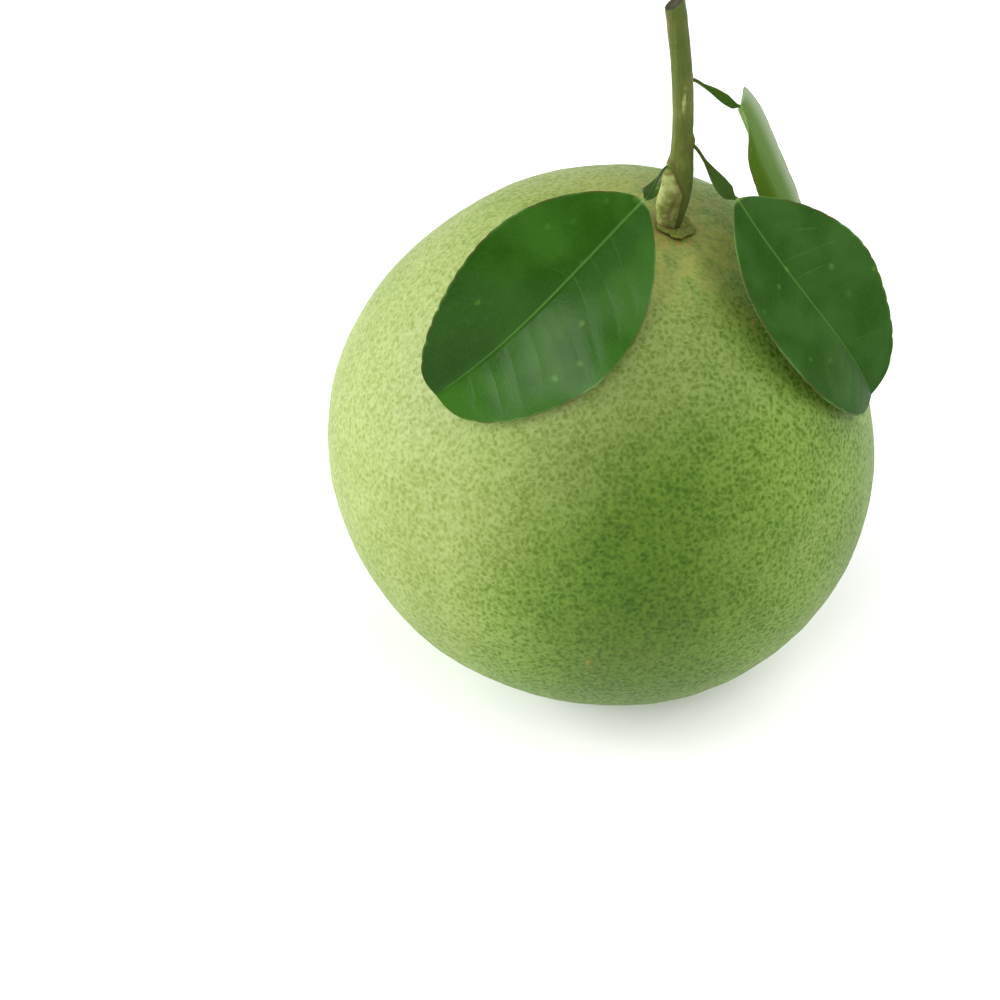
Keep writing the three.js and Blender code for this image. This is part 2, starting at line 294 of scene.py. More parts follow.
def rind_radius(polar, around):
    radius = FRUIT_RADIUS + 0 * (polar + around)
    for share, at, spread in PROFILE_SWELLS:
        radius = radius + FRUIT_RADIUS * share * swell(polar, at, spread)
    for height, lobes, phase, at, spread in RIND_LOBES:
        share = np.sin(np.radians(polar)) * swell(polar, at, spread)
        radius = radius + height * share * np.cos(lobes * around + phase)
    return radius - DIMPLE_DEPTH * swell(polar, 0, DIMPLE_SPREAD)


def rind_point(polar, around, height=0.0):
    """The point polar degrees from the stem end and around radians about the axis, height above the rind."""
    polar, around = np.asarray(polar, float), np.asarray(around, float)
    angle = np.radians(polar)
    direction = (
        (np.sin(angle) * np.cos(around))[..., None] * ACROSS
        + (np.sin(angle) * np.sin(around))[..., None] * ALONG
        + np.cos(angle)[..., None] * AXIS
    )
    return direction * (rind_radius(polar, around) + height)[..., None] + FRUIT_CENTRE


STEM_END = rind_point(0.0, 0.0)


def peel_surface():
    s = Surface("peel", Specular_IOR_Level=0.17)
    # a net of light winding lines over small dark pits, the peel's own pattern; the pits' darkness is partly
    # painted shade in the hollows, and the lines' bluish paleness partly painted sheen
    wandering = s.warped(2.2, 0.35)
    pits = s.cells(1.7, place=wandering, randomness=0.85)
    around_pits = s.step(pits.outputs["Distance"], 0.06, 0.62)
    lines = s.math("ABSOLUTE", s.math("SUBTRACT", s.noise(1.5, detail=0.0, place=wandering), 0.5))
    lines = s.step(lines, -0.05, 0.22, 1.0, 0.0)
    grain = s.step(s.noise(1.2, detail=0.5), 0.25, 0.75)
    net = s.plus(s.times(lines, LINE_SHARE), s.times(around_pits, AROUND_PIT_SHARE))
    net = s.plus(net, s.times(grain, GRAIN_SHARE))

    # the peel is yellower on the side that hung in the sun, and paler there with painted light and sheen from
    # the key lamp
    sun_and_key_light = s.step(s.vector("DOT_PRODUCT", s.place, SUNNY_AND_LIT_SIDE, "Value"), 0.040, 0.108)
    broad = s.step(s.noise(38, detail=3), 0.3, 0.7, -0.22, 0.22)
    sun_and_key_light = s.plus(sun_and_key_light, broad, clamp=True)
    dark = s.blend(sun_and_key_light, PEEL_PIT, PEEL_PIT_YELLOW)
    light = s.blend(sun_and_key_light, PEEL_NET, PEEL_NET_YELLOW)
    strength = s.step(s.noise(16, detail=2), 0.3, 0.7, -0.07, 0.08)
    colour = s.blend(s.step(s.plus(net, strength), 0.05, 1.15), dark, light)

    # painted shade: deeper green low on the front
    away = s.distance(s.vector("MULTIPLY", s.place, tuple(PAINTED_SHADE_STRETCH)), PAINTED_SHADE_PLACE * PAINTED_SHADE_STRETCH)
    colour = s.blend(s.step(away, PAINTED_SHADE_REACH, 0.0), colour, PAINTED_SHADE_TINT, kind="MULTIPLY")

    # khaki and reddish russet towards the calyx
    reach = s.distance(s.place, STEM_END * MM)
    near = s.times(s.step(reach, 0.006, 0.042, 1.0, 0.0), s.step(s.noise(5, detail=4), 0.3, 0.62))
    colour = s.blend(s.times(near, RUSSET_SHARE), colour, RUSSET)
    patchy = s.step(s.noise(1.6, detail=3), 0.45, 0.62, 0.0, 0.8)
    ring = s.times(s.step(reach, 0.0054, 0.0095, 1.0, 0.0), patchy)
    colour = s.blend(ring, colour, RING_BROWN)

    # a few small rust flecks
    fleck = s.spots(s.cells(24, place=s.warped(3, 2)), 1, 0.02, 0.075, 0.55, 0.7)
    colour = s.blend(s.times(fleck, FLECK_SHARE), colour, FLECK_RUST)

    return s.finish(colour, s.step(net, 0.2, 0.9, 0.56, 0.48), net, PEEL_BUMP)


def make_fruit():
    share = (np.arange(FRUIT_ROWS) + 1) / (FRUIT_ROWS + 1)
    polar = (180 * share**ROW_CROWDING)[:, None]
    around = np.linspace(0, 2 * np.pi, FRUIT_COLUMNS, endpoint=False)[None, :]
    polar, around = polar + 0 * around, around + 0 * polar
    base = rind_point(polar, around)
    uneven = sum(height * rough(base, size, seed) for height, size, seed in RIND_RELIEF)
    creases = PUCKER_HEIGHT * swell(polar, PUCKER_PLACE, PUCKER_SPREAD)
    creases = creases * np.cos(PUCKERS * around + 2 * np.sin(3 * around))
    rings = rind_point(polar, around, smooth(polar, 0, RIND_RELIEF_FULL) * uneven + creases)
    poles = np.array([STEM_END, rind_point(180.0, 0.0)])
    for points in (rings, poles):
        points[..., 2] = np.maximum(points[..., 2], 0)  # the flat spot that it rests on
    make_ball("fruit", rings, poles, peel_surface())


# ---------------------------------------------------------------- calyx

CALYX_RADIUS, CALYX_THICKNESS = 5.3, 1.7
CALYX_LOBES, CALYX_LOBE_DEPTH = 5, 0.08
CALYX_ROUNDING = 0.6
CALYX_SINK = 0.5  # how far its underside reaches down to the rind
CALYX_ROWS, CALYX_COLUMNS = 47, 160
CALYX_RAGGED = [(0.012, 13, 1), (0.008, 23, 0)]  # share of the radius, teeth, phase
CALYX_RIBS, CALYX_RIB_HEIGHT, CALYX_RIB_PHASE = 11, 0.07, 0.6
CALYX_DARK, CALYX_LIGHT, CALYX_SHADED_EDGE = (0.095, 0.120, 0.018), (0.165, 0.185, 0.035), (0.040, 0.018, 0.006)
CALYX_BUMP = 0.25


def calyx_surface():
    s = Surface("calyx", Specular_IOR_Level=0.12)
    grain = s.noise(1.2, detail=4, roughness=0.65)
    colour = s.blend(s.step(grain, 0.35, 0.65), CALYX_DARK, CALYX_LIGHT)
    # painted shade: dark brown on the underside of the rim, where the calyx meets the rind
    edge = s.times(s.value("edge"), s.step(s.noise(2.2, detail=2), 0.25, 0.6, 0.5, 1.0))
    colour = s.blend(edge, colour, CALYX_SHADED_EDGE)
    return s.finish(colour, 0.6, grain, CALYX_BUMP)


def make_calyx():
    lift = np.pi * (np.arange(CALYX_ROWS) + 1) / (CALYX_ROWS + 1)
    around = np.linspace(0, 2 * np.pi, CALYX_COLUMNS, endpoint=False)[None, :]
    out_share, up = np.sin(lift)[:, None], np.cos(lift)[:, None]
    ragged = 1.0
    for share, teeth, phase in CALYX_RAGGED:
        ragged = ragged + share * np.cos(teeth * around + phase)
    out = CALYX_RADIUS * (1 + CALYX_LOBE_DEPTH * np.cos(CALYX_LOBES * around)) * ragged * out_share
    rise = np.sign(up) * np.abs(up) ** CALYX_ROUNDING
    height = GAP + CALYX_THICKNESS / 2 * (1 + rise) - CALYX_SINK * (rise < 0) * -rise
    ribs = np.cos(CALYX_RIBS * around + CALYX_RIB_PHASE)
    height = height + CALYX_RIB_HEIGHT * out_share * (rise > 0) * ribs
    rings = rind_point(np.degrees(out / FRUIT_RADIUS), around + 0 * out, height)
    poles = np.array([rind_point(0.0, 0.0, GAP + CALYX_THICKNESS), rind_point(0.0, 0.0, GAP - CALYX_SINK)])
    # the rim's underside, which gets the painted shade
    brown = smooth(out_share, 0.86, 1.0) * smooth(-up, -0.05, 0.3) + 0 * around
    make_ball("calyx", rings, poles, calyx_surface(), {"edge": [*brown.ravel(), 0, 1]})


# ---------------------------------------------------------------- twig

TWIG_FOOT_RADIUS, TWIG_LOW_RADIUS, TWIG_TOP_RADIUS = 3.1, 3.6, 2.85
TWIG_OFFSET = 1.7
TWIG_SLIMS_FROM, TWIG_SLIMS_TO = 165, 180
TWIG_CUT_SLANT, CUT_REACH = 0.5, 24
TWIG_FOOT = rind_point(0.0, 0.0, CALYX_THICKNESS + 2.5 * GAP) - TWIG_OFFSET * ACROSS
TWIG_PATH = Curve(TWIG_FOOT, (19.7, -3.4, 171.8), (19.5, -3.4, 196.3), (15.3, -3.4, 223.7))
# top of the ridge, its direction about the twig in degrees, and its height
TWIG_RIDGES = [(173, 203, 1.2), (181, -20, 0.4), (199, 34, 0.2)]
RIDGE_SPREAD, RIDGE_FADE, FOOT_TAPER = 35, 3, 5
TWIG_SINK, SINK_REACH = 0.6, 0.03  # how far the foot reaches down to the calyx, in what share of the twig

TWIG_COLUMNS, TWIG_ROWS = 120, 300
CAP_RINGS = np.linspace(0.12, 0.97, 8)  # rings of the foot and of the cut, as shares of the radius
CUT_DISH = 0.12  # how far the middle of the cut has sunk

# In what follows, heights are above the floor and directions are about the twig.
FINE_UNEVEN = (0.10, 3.5, 5.2)  # height, size, seed
# the bud above each leaf's root: how far above it, half-height, spread and relief
BUD_LIFT, BUD_HALF_HEIGHT, BUD_SPREAD, BUD_RELIEF = 1.4, 1.5, 24, 0.55
# the brown ring about each leaf's root: half-height, spread, thickness as a share, and strength
ROOT_HALF_HEIGHT, ROOT_SPREAD, ROOT_RING, ROOT_BROWN = 2.2, 38, 0.25, 0.55
# the pale pointed base of the lowest leaf runs down the twig from its top, turning and widening
BASE_TOP, BASE_LENGTH = 173.5, 9
BASE_DIRECTION, BASE_TURN, BASE_REACH = 203, 32, 58
SEAM_SPREAD, SEAM_DEPTH, SEAM_BROWN = 6, 0.22, 0.8
STREAK_HEIGHT, STREAK_HALF_HEIGHT, STREAK_DIRECTION, STREAK_TURN = 160, 6, 252, 2
STREAK_SPREAD, STREAK_BROWN = 12, 0.75
# the swell under that base: it fades out between the first two heights and grows between the last two
SWELL_FADES, SWELL_GROWS, SWELL_RELIEF = (157, 168), (153, 158), (0.8, 1.25)
SWELL_DIRECTION, SWELL_SPREAD = 195, 48
# a pale scar below the highest leaf
SCAR_HEIGHT, SCAR_HALF_HEIGHT, SCAR_DIRECTION, SCAR_TURN, SCAR_SPREAD = 194.5, 3.4, -84, 2, 10
SCAR_TORN, SCAR_RELIEF = (0.5, 1.6, 9.3), 0.10  # torn: height, size, seed
# the weathered side below the cut
WEATHERED_DIRECTION, WEATHERED_SPREAD, WEATHERED_FROM, WEATHERED_TO, WEATHERED_BROWN = 190, 45, 209, 222, 0.6

BARK_DARK, BARK_LIGHT = (0.056, 0.072, 0.009), (0.118, 0.138, 0.024)
BARK_MOTTLE, BARK_GRIT, BARK_PATCH = (0.068, 0.098, 0.011), (0.032, 0.037, 0.006), (0.050, 0.076, 0.008)
BASE_DARK, BASE_LIGHT, PALE_SHARE = (0.16, 0.19, 0.035), (0.37, 0.39, 0.14), 0.8
BARK_BROWN, BARK_SPECK = (0.085, 0.045, 0.012), (0.20, 0.20, 0.08)
WOOD_DARK, WOOD_LIGHT = (0.020, 0.017, 0.006), (0.036, 0.030, 0.012)
BARK_BUMP = 0.22


def turn_between(a, b):
    """Degrees from direction b to direction a, from -180 to 180."""
    return (a - b + 180) % 360 - 180


def twig_radius(height, toward):
    foot = swell(height, TWIG_FOOT[2], FOOT_TAPER)
    upper = smooth(height, TWIG_SLIMS_FROM, TWIG_SLIMS_TO)
    radius = mix(mix(TWIG_LOW_RADIUS, TWIG_TOP_RADIUS, upper), TWIG_FOOT_RADIUS, foot)
    for top, direction, ridge in TWIG_RIDGES:
        below = 1 - smooth(height, top - RIDGE_FADE, top + RIDGE_FADE)
        radius = radius + ridge * below * swell(turn_between(toward, direction), 0, RIDGE_SPREAD) * (1 - foot)
    return radius


def twig_point(share, toward, gap=0.0):
    """The middle of the twig at a share of its length, and the point above its bark in a direction."""
    centre, tangent = TWIG_PATH.at(share), TWIG_PATH.tangent(share)
    east = unit(np.array([1.0, 0, 0]) - tangent[..., :1] * tangent)
    north = np.cross(tangent, east)
    angle = np.radians(toward)
    radius = twig_radius(centre[..., 2], toward) + gap
    away = np.cos(angle)[..., None] * east + np.sin(angle)[..., None] * north
    return centre, centre + radius[..., None] * away


def bark_surface():
    s = Surface("bark", Specular_IOR_Level=0.18)
    streaks = s.noise(1.1, detail=4, roughness=0.6, stretch=(1.0, 1.0, 0.16))
    mottle = s.noise(3.2, detail=4, roughness=0.6)
    grit = s.noise(0.7, detail=3, roughness=0.7)
    colour = s.blend(s.step(streaks, 0.3, 0.7, 0.15, 0.85), BARK_DARK, BARK_LIGHT)
    colour = s.blend(s.step(mottle, 0.42, 0.62, 0.0, 0.6), colour, BARK_MOTTLE)
    colour = s.blend(s.step(grit, 0.52, 0.72, 0.0, 0.55), colour, BARK_GRIT)
    colour = s.blend(s.step(s.noise(13, detail=1), 0.42, 0.6, 0.0, 0.75), colour, BARK_PATCH)
    pale = s.blend(s.step(s.noise(2.5, detail=3), 0.35, 0.65), BASE_DARK, BASE_LIGHT)
    colour = s.blend(s.times(s.value("pale"), PALE_SHARE), colour, pale)
    colour = s.blend(s.value("brown"), colour, BARK_BROWN)
    speck = s.step(s.cells(2.4).outputs["Distance"], 0.05, 0.12, 0.4, 0.0)
    colour = s.blend(speck, colour, BARK_SPECK)
    # the cut: dark dry wood, lighter in the middle
    cut = s.value("cut")
    wood = s.blend(s.step(cut, 0.35, 0.5, 1.0, 0.0), WOOD_DARK, WOOD_LIGHT)
    colour = s.blend(s.step(cut, 0.86, 0.93, 1.0, 0.0), colour, wood)
    height = s.plus(s.plus(streaks, s.times(grit, -0.5)), s.times(speck, 0.6))
    return s.finish(colour, s.step(mottle, 0.3, 0.7, 0.5, 0.65), height, BARK_BUMP)


def bark_marks(height, toward, surface):
    """At each point of the twig's side: the relief in millimetres, and how brown and how pale the bark is."""
    # fine furrows along the bark and a slight unevenness
    angle = np.radians(toward)
    wander = 2.2 * np.sin(height / 9) + np.sin(height / 4.1 + 2)
    furrows = 0.03 * np.cos(9 * angle + wander) + 0.015 * np.cos(17 * angle - 1.6 * wander)
    uneven, size, seed = FINE_UNEVEN
    growth = furrows + uneven * rough(surface, size, seed)

    # a bud and a brown ring at each leaf's root
    brown, pale = np.zeros_like(height), np.zeros_like(height)
    for leaf in LEAVES.values():
        at, direction, _ = leaf["petiole"]
        root, turn = TWIG_PATH.at(at)[2], turn_between(toward, direction)
        away = np.hypot((height - root - BUD_LIFT) / BUD_HALF_HEIGHT, turn / BUD_SPREAD)
        growth = growth + BUD_RELIEF * np.exp(-(away**2))
        ring = np.hypot((height - root) / ROOT_HALF_HEIGHT, turn / ROOT_SPREAD)
        brown = np.maximum(brown, ROOT_BROWN * swell(ring, 1.0, ROOT_RING))

    # the pale pointed base of the lowest leaf, with a brown streak in it and a seam beside it
    down = np.clip((BASE_TOP - height) / BASE_LENGTH, 0, 1)
    across = turn_between(toward, BASE_DIRECTION + BASE_TURN * down)
    reach = BASE_REACH * np.sqrt(down)
    base = (height < BASE_TOP) * (1 - smooth(np.abs(across), reach - 7, reach + 3))
    pale = np.maximum(pale, base * (1 - 0.55 * smooth(across, 20, 45)))
    seam = swell(across, reach + 2, SEAM_SPREAD) * smooth(down, 0.15, 0.5)
    middle = STREAK_DIRECTION + STREAK_TURN * (height - STREAK_HEIGHT)
    streak = swell(turn_between(toward, middle), 0, STREAK_SPREAD) * smooth(down, 0.4, 0.9)
    streak = STREAK_BROWN * streak * swell(height, STREAK_HEIGHT, STREAK_HALF_HEIGHT)
    brown = np.maximum(brown, np.maximum(SEAM_BROWN * seam, streak))
    growth = growth - SEAM_DEPTH * seam
    low = (1 - smooth(height, *SWELL_FADES)) * mix(*SWELL_RELIEF, smooth(height, *SWELL_GROWS))
    growth = growth + low * swell(turn_between(toward, SWELL_DIRECTION), 0, SWELL_SPREAD)

    # a pale scar below the highest leaf
    torn, size, seed = SCAR_TORN
    turn = turn_between(toward, SCAR_DIRECTION + SCAR_TURN * (height - SCAR_HEIGHT))
    scar = np.hypot((height - SCAR_HEIGHT) / SCAR_HALF_HEIGHT, turn / SCAR_SPREAD)
    scar = np.exp(-((scar * (1 + torn * rough(surface, size, seed))) ** 4))
    pale = np.maximum(pale, 1.3 * scar)
    growth = growth + SCAR_RELIEF * scar

    # brown on the weathered side below the cut, and dark brown round the foot as painted shade where the twig
    # meets the calyx
    weathered = swell(turn_between(toward, WEATHERED_DIRECTION), 0, WEATHERED_SPREAD)
    weathered = WEATHERED_BROWN * weathered * smooth(height, WEATHERED_FROM, WEATHERED_TO)
    foot = swell(height, TWIG_FOOT[2] - 0.2, 1.0 + 0.35 * np.cos(3 * angle))
    brown = np.maximum(np.maximum(brown, weathered), foot)
    return growth, brown, pale


def make_twig():
    """The twig as rings from the middle of its foot, up its side and in to the middle of its slanting cut."""
    side = np.linspace(0, 1, TWIG_ROWS)
    share = np.concatenate([0 * CAP_RINGS, side, 0 * CAP_RINGS + 1])[:, None]
    out = np.concatenate([CAP_RINGS, 0 * side + 1, CAP_RINGS[::-1]])[:, None]
    toward = np.linspace(0, 360, TWIG_COLUMNS, endpoint=False)[None, :]
    share, out, toward = (a + 0 * share + 0 * toward for a in (share, out, toward))
    centre, surface = twig_point(share, toward)
    tangent = TWIG_PATH.tangent(share)
    height = centre[..., 2]

    growth, brown, pale = bark_marks(height, toward, surface)
    surface = surface + (growth / twig_radius(height, toward))[..., None] * (surface - centre)
    slant = TWIG_CUT_SLANT * TWIG_TOP_RADIUS * np.cos(np.radians(toward)) * out * share**CUT_REACH
    rings = mix(centre, surface, out[..., None]) + slant[..., None] * tangent
    rings = rings - (TWIG_SINK * (1 - smooth(share, 0, SINK_REACH)))[..., None] * tangent
    rings = rings - (CUT_DISH * (share >= 1) * (1 - out**2))[..., None] * tangent
    sinks = ((0.0, TWIG_SINK), (1.0, CUT_DISH))
    poles = np.array([TWIG_PATH.at(end) - sink * TWIG_PATH.tangent(end) for end, sink in sinks])

    on_cut = (share >= 1) & (out < 1)
    floats = {
        "cut": [*np.where(on_cut, out, 1.0).ravel(), 1, 0],
        "brown": [*(brown * ~on_cut).ravel(), 1, 0],
        "pale": [*(np.clip(pale, 0, 1) * ~on_cut).ravel(), 0, 0],
    }
    make_ball("twig", rings, poles, bark_surface(), floats)


# ---------------------------------------------------------------- leaves

BLADE_THICKNESS = 0.8
RIB_HALF_WIDTH, RIB_DEPTH = 1.3, 1.2
STALK_FLARE, STALK_FLARE_REACH = 0.6, 0.08
WING_HALF_WIDTH = 2.5
CRENATION_PITCH, CRENATION_DEPTH = 5, 0.5
PETIOLE_START = 2

# petiole: share of the twig's length, direction about the twig, a point that it bends past
# blade: the midrib's curve; face: where the upper side looks at the petiole's root, the joint and the tip
# fold and droop: degrees that each half leaves the midrib at and bends down by
# wave: height, number and phase; turn: how late along the petiole it turns
LEAVES = {
    "leaf_front": {
        "petiole": (0.318, 203, (11.4, -16.5, 172.8)),
        "blade": [(7.8, -22.4, 174.1), (-13.9, -38.8, 158.4), (-27.8, -46.9, 144.1), (-47.9, -48, 128.1)],
        "face": [(-0.6, 0, 0.75), (0.13, -0.77, 0.63), (0.17, -0.89, 0.42)],
        "half_width": 25.8, "fold": 20, "droop": 10, "wave": (0.5, 2.2, 0.4), "turn": 2.5,
    },
    "leaf_right": {
        "petiole": (0.42, -20, (28.2, -7.3, 166.2)),
        "blade": [(33.9, -8.6, 164.8), (49, -20.8, 143.9), (66.9, -22.6, 125.8), (73.5, -19.2, 105.5)],
        "face": [(0.4, -0.6, 0.7), (0.47, -0.44, 0.77), (0.68, -0.54, 0.5)],
        "half_width": 24.1, "fold": 15.5, "droop": 8.5, "wave": (0.5, 1.8, 2.4), "turn": 8,
    },
    "leaf_back": {
        "petiole": (0.685, 34, (27.6, 4.5, 188.4)),
        "blade": [(35, 7, 184.4), (36.4, 7.7, 181.4), (39.3, 9.8, 168.1), (55.4, 15.3, 133.4)],
        "face": [(0.5, -0.2, 0.85), (0.82, -0.02, 0.57), (0.88, -0.35, 0.31)],
        "half_width": 14.5, "fold": 10, "droop": 20.5, "wave": (0.3, 2, 1.2), "turn": 8,
    },
}

PETIOLE_ROWS, BLADE_ROWS = 70, 300
RIB_COLUMNS, BLADE_COLUMNS = 7, 32  # on each side of the midrib
STALK_ROUND = 0.5  # half-width of the round stalk in a petiole
LEAF_EDGE, LEAF_BODY, LEAF_THINS = 0.24, 0.5, 8  # thickness at the margin and inside, and where it is full
VEIN_PITCH = 7.0
VEIN_SLOPE, VEIN_CURVE = 0.26, 1.35  # how far a side vein runs on towards the tip, and how it curves
GROOVE, VEIN_GROOVE, VEIN_GROOVE_SPREAD, QUILT = 0.15, 0.02, 0.09, 0.035
STALK_MIDDLE, STALK_RISE, STALK_DROP, WING_HALF_THICKNESS = -0.12, 0.46, 0.55, 0.12
WING_EDGE = 0.06  # keeps the two skins of a wing apart at its edge
FAR_FROM_MARGIN = 5.0  # the margin's distance on a petiole, which has no tinted margin

LEAF_TINTS = (0.014, 0.065, 0.002), (0.026, 0.092, 0.007)  # dark, light
BLUER_TINTS = (0.018, 0.061, 0.007), (0.029, 0.085, 0.014)
# the turned blade's greens: a lighter and a darker green, and a whitish painted sheen for its far margin
TURNED_BLADE_AND_SHEEN = (0.100, 0.168, 0.045), (0.050, 0.098, 0.008), (0.26, 0.32, 0.21)  # light, dark, far margin
# painted shade for the front leaf's left half
PAINTED_SHADE_GREEN = (0.008, 0.040, 0.0008)
FINE_NET, SIDE_VEIN, MIDRIB = (0.08, 0.19, 0.035), (0.09, 0.21, 0.04), (0.082, 0.200, 0.034)
FINE_NET_SHARE, SIDE_VEIN_SHARE, MIDRIB_SHARE, MIDRIB_TIP = 0.06, 0.12, 0.62, 0.4
STALK_TINT, JOINT_TINT = (0.040, 0.050, 0.010), (0.25, 0.36, 0.11)
SPOT_TINT, SPOT_SHARE = (0.15, 0.29, 0.05), 0.34
RIM_GREEN, RIM_BROWN, RIM_SHARE = (0.09, 0.17, 0.035), (0.085, 0.055, 0.02), 0.6
UNDER_DARK, UNDER_LIGHT = (0.095, 0.175, 0.05), (0.125, 0.21, 0.065)
UNDER_NET, UNDER_NET_SHARE = (0.17, 0.26, 0.09), 0.35
UNDER_VEIN, UNDER_VEIN_SHARE = (0.22, 0.32, 0.12), 0.7
LEAF_BUMP = 0.08


def blade_outline(share):
    """Half-width of a blade as a share of its widest."""
    inside = np.clip(share, 1e-4, 1 - 1e-4)
    return np.sin(np.pi * inside**0.9) ** (0.75 - 0.33 * inside)


def crenation(share, teeth):
    """Depth of the notches between the margin's teeth, deeper towards the tip."""
    notch = 1 - np.abs(np.sin(np.pi * teeth * share)) ** 0.6
    return CRENATION_DEPTH * notch * (0.3 + 1.0 * share**2)


def wing_outline(share):
    wings = smooth(share, 0.3, 0.75) * (1 - smooth(share, 0.82, 1))
    stalk = STALK_ROUND * (1 + STALK_FLARE * swell(share, 0, STALK_FLARE_REACH))
    return mix(stalk, WING_HALF_WIDTH, wings)


def leaf_paths(leaf):
    """The middle lines of a leaf's petiole, from just inside the twig's gap, and of its blade."""
    share, toward, past = leaf["petiole"]
    centre, point = twig_point(np.array(share), np.array(float(toward)), 1.5 * GAP)
    outward = unit(point - centre)
    inside = point - (1.5 * GAP + 0.5) * outward
    petiole = Curve(inside, point + PETIOLE_START * outward, past, leaf["blade"][0])
    return petiole, Curve(*leaf["blade"])


def leaf_surface(name, gloss, tints=LEAF_TINTS, midrib=MIDRIB_SHARE, blade=None, shade=0.0):
    """A leaf's material.

    blade holds other tints for the blade, and shade is the strength of the painted shade that darkens its left
    half towards the tip.
    """
    s = Surface(name, Specular_IOR_Level=gloss)
    upper, along, side = s.value("upper"), s.value("along"), s.value("side")
    rib, edge = s.value("rib"), s.value("margin")
    broad = s.noise(16, detail=2)
    on_blade = s.step(along, -0.05, 0.0)
    green = s.blend(s.step(broad, 0.35, 0.65), *tints)
    if blade:
        # the turned blade: lighter at the joint and on one side, darker further along, and a whitish painted
        # sheen along the far margin
        light, dark, far = blade
        turned_green_and_sheen = s.blend(s.step(along, 0.05, 0.40), light, dark)
        turned_green_and_sheen = s.blend(s.step(side, -0.6, 0.2), turned_green_and_sheen, light)
        turned_green_and_sheen = s.blend(s.step(side, 0.25, 0.95), turned_green_and_sheen, far)
        green = s.blend(on_blade, green, turned_green_and_sheen)
    if shade:
        # painted shade: the left half grows darker green towards the tip
        left = s.times(s.step(along, 0.25, 0.75), s.step(side, 0.12, -0.2))
        green = s.blend(s.times(left, shade), green, PAINTED_SHADE_GREEN)
    net = s.cells(1.9, feature="DISTANCE_TO_EDGE", place=s.warped(2.5, 0.5)).outputs["Distance"]
    fine = s.step(net, 0.0, 0.09, 1.0, 0.0)
    green = s.blend(s.times(fine, FINE_NET_SHARE), green, FINE_NET)

    # side veins, which show in places, and the pale midrib that thins towards the tip
    fades = s.times(s.step(edge, 1.5, 7.0), s.step(along, 0.03, 0.12))
    fades = s.times(fades, s.step(s.noise(14, detail=1), 0.48, 0.62))
    fades = s.times(fades, s.step(side, -0.1, 0.1, 0.4, 1.0))
    fades = s.times(fades, s.step(along, 0.45, 0.8, 1.0, 0.4))
    phase = s.math("PINGPONG", s.value("vein"), 0.5)
    vein = s.times(s.step(phase, 0.015, 0.06, 1.0, 0.0), fades)
    green = s.blend(s.times(vein, SIDE_VEIN_SHARE), green, SIDE_VEIN)
    width = s.step(along, 0.0, 1.0, 0.55, 0.3)
    line = s.step(s.math("DIVIDE", rib, width), 0.35, 1.0, 1.0, 0.0)
    line = s.times(line, s.step(along, 0.93, 0.985, 1.0, 0.0))
    pale = s.times(s.times(line, on_blade), s.step(along, 0.4, 1.0, midrib, MIDRIB_TIP * midrib))
    green = s.blend(pale, green, MIDRIB)
    stalk = s.times(s.step(along, -0.62, -0.4, 0.85, 0.45), s.step(along, -0.05, 0.0, 1.0, 0.0))
    green = s.blend(stalk, green, STALK_TINT)

    # small pale spots
    spot = s.spots(s.cells(7.0, place=s.warped(2, 0.8)), 0, 0.0, 0.20, 0.3, 0.6)
    green = s.blend(s.times(spot, SPOT_SHARE), green, SPOT_TINT)

    # a thin margin, brownish in places, and the pale joint
    rim = s.step(edge, 0.25, 0.75, 1.0, 0.0)
    rim_tint = s.blend(s.step(s.noise(9, detail=2), 0.42, 0.58), RIM_GREEN, RIM_BROWN)
    green = s.blend(s.times(rim, RIM_SHARE), green, rim_tint)
    joint = s.step(s.math("ABSOLUTE", along), 0.0, 0.016, 0.6, 0.0)
    green = s.blend(joint, green, JOINT_TINT)

    # the paler underside with its raised network
    under = s.blend(s.step(broad, 0.35, 0.65), UNDER_DARK, UNDER_LIGHT)
    under = s.blend(s.times(fine, UNDER_NET_SHARE), under, UNDER_NET)
    under = s.blend(s.times(s.math("MAXIMUM", vein, line), UNDER_VEIN_SHARE), under, UNDER_VEIN)
    colour = s.blend(s.step(upper, 0.3, 0.7), under, green)
    roughness = s.plus(s.step(upper, 0.3, 0.7, 0.62, 0.22), s.times(line, 0.12))
    height = s.plus(s.times(vein, -0.3), s.times(s.noise(0.8, detail=2), 0.3))
    height = s.math("SUBTRACT", height, s.times(fine, 0.08))
    return s.finish(colour, roughness, height, LEAF_BUMP)


def leaf_directions(leaf, tangent, petiole_share, blade_share):
    """Where the upper side looks and where the right half points, row by row."""
    faces = [np.array(f, float) for f in leaf["face"]]
    turning = (petiole_share ** leaf["turn"])[:, None]
    face = np.vstack([mix(faces[0], faces[1], turning), mix(faces[1], faces[2], blade_share[:, None])])
    face = unit(face - np.sum(face * tangent, axis=1, keepdims=True) * tangent)
    return face, np.cross(face, tangent)


def leaf_offsets(width, in_blade):
    """Each row's distances from the midrib: close together across the rib, then evenly out to the edge."""
    rib, stalk = np.minimum(RIB_HALF_WIDTH, 0.45 * width), np.minimum(STALK_ROUND, 0.6 * width)
    inner = np.where(in_blade > 0, rib, stalk)
    rib_part = np.sin(np.linspace(0, 1, RIB_COLUMNS + 1)[1:] * np.pi / 2)[None, :] * inner
    outer = inner + (width - inner) * np.linspace(0, 1, BLADE_COLUMNS + 1)[1:][None, :]
    half = np.hstack([rib_part, outer])
    return np.hstack([-half[:, ::-1], np.zeros((len(half), 1)), half])


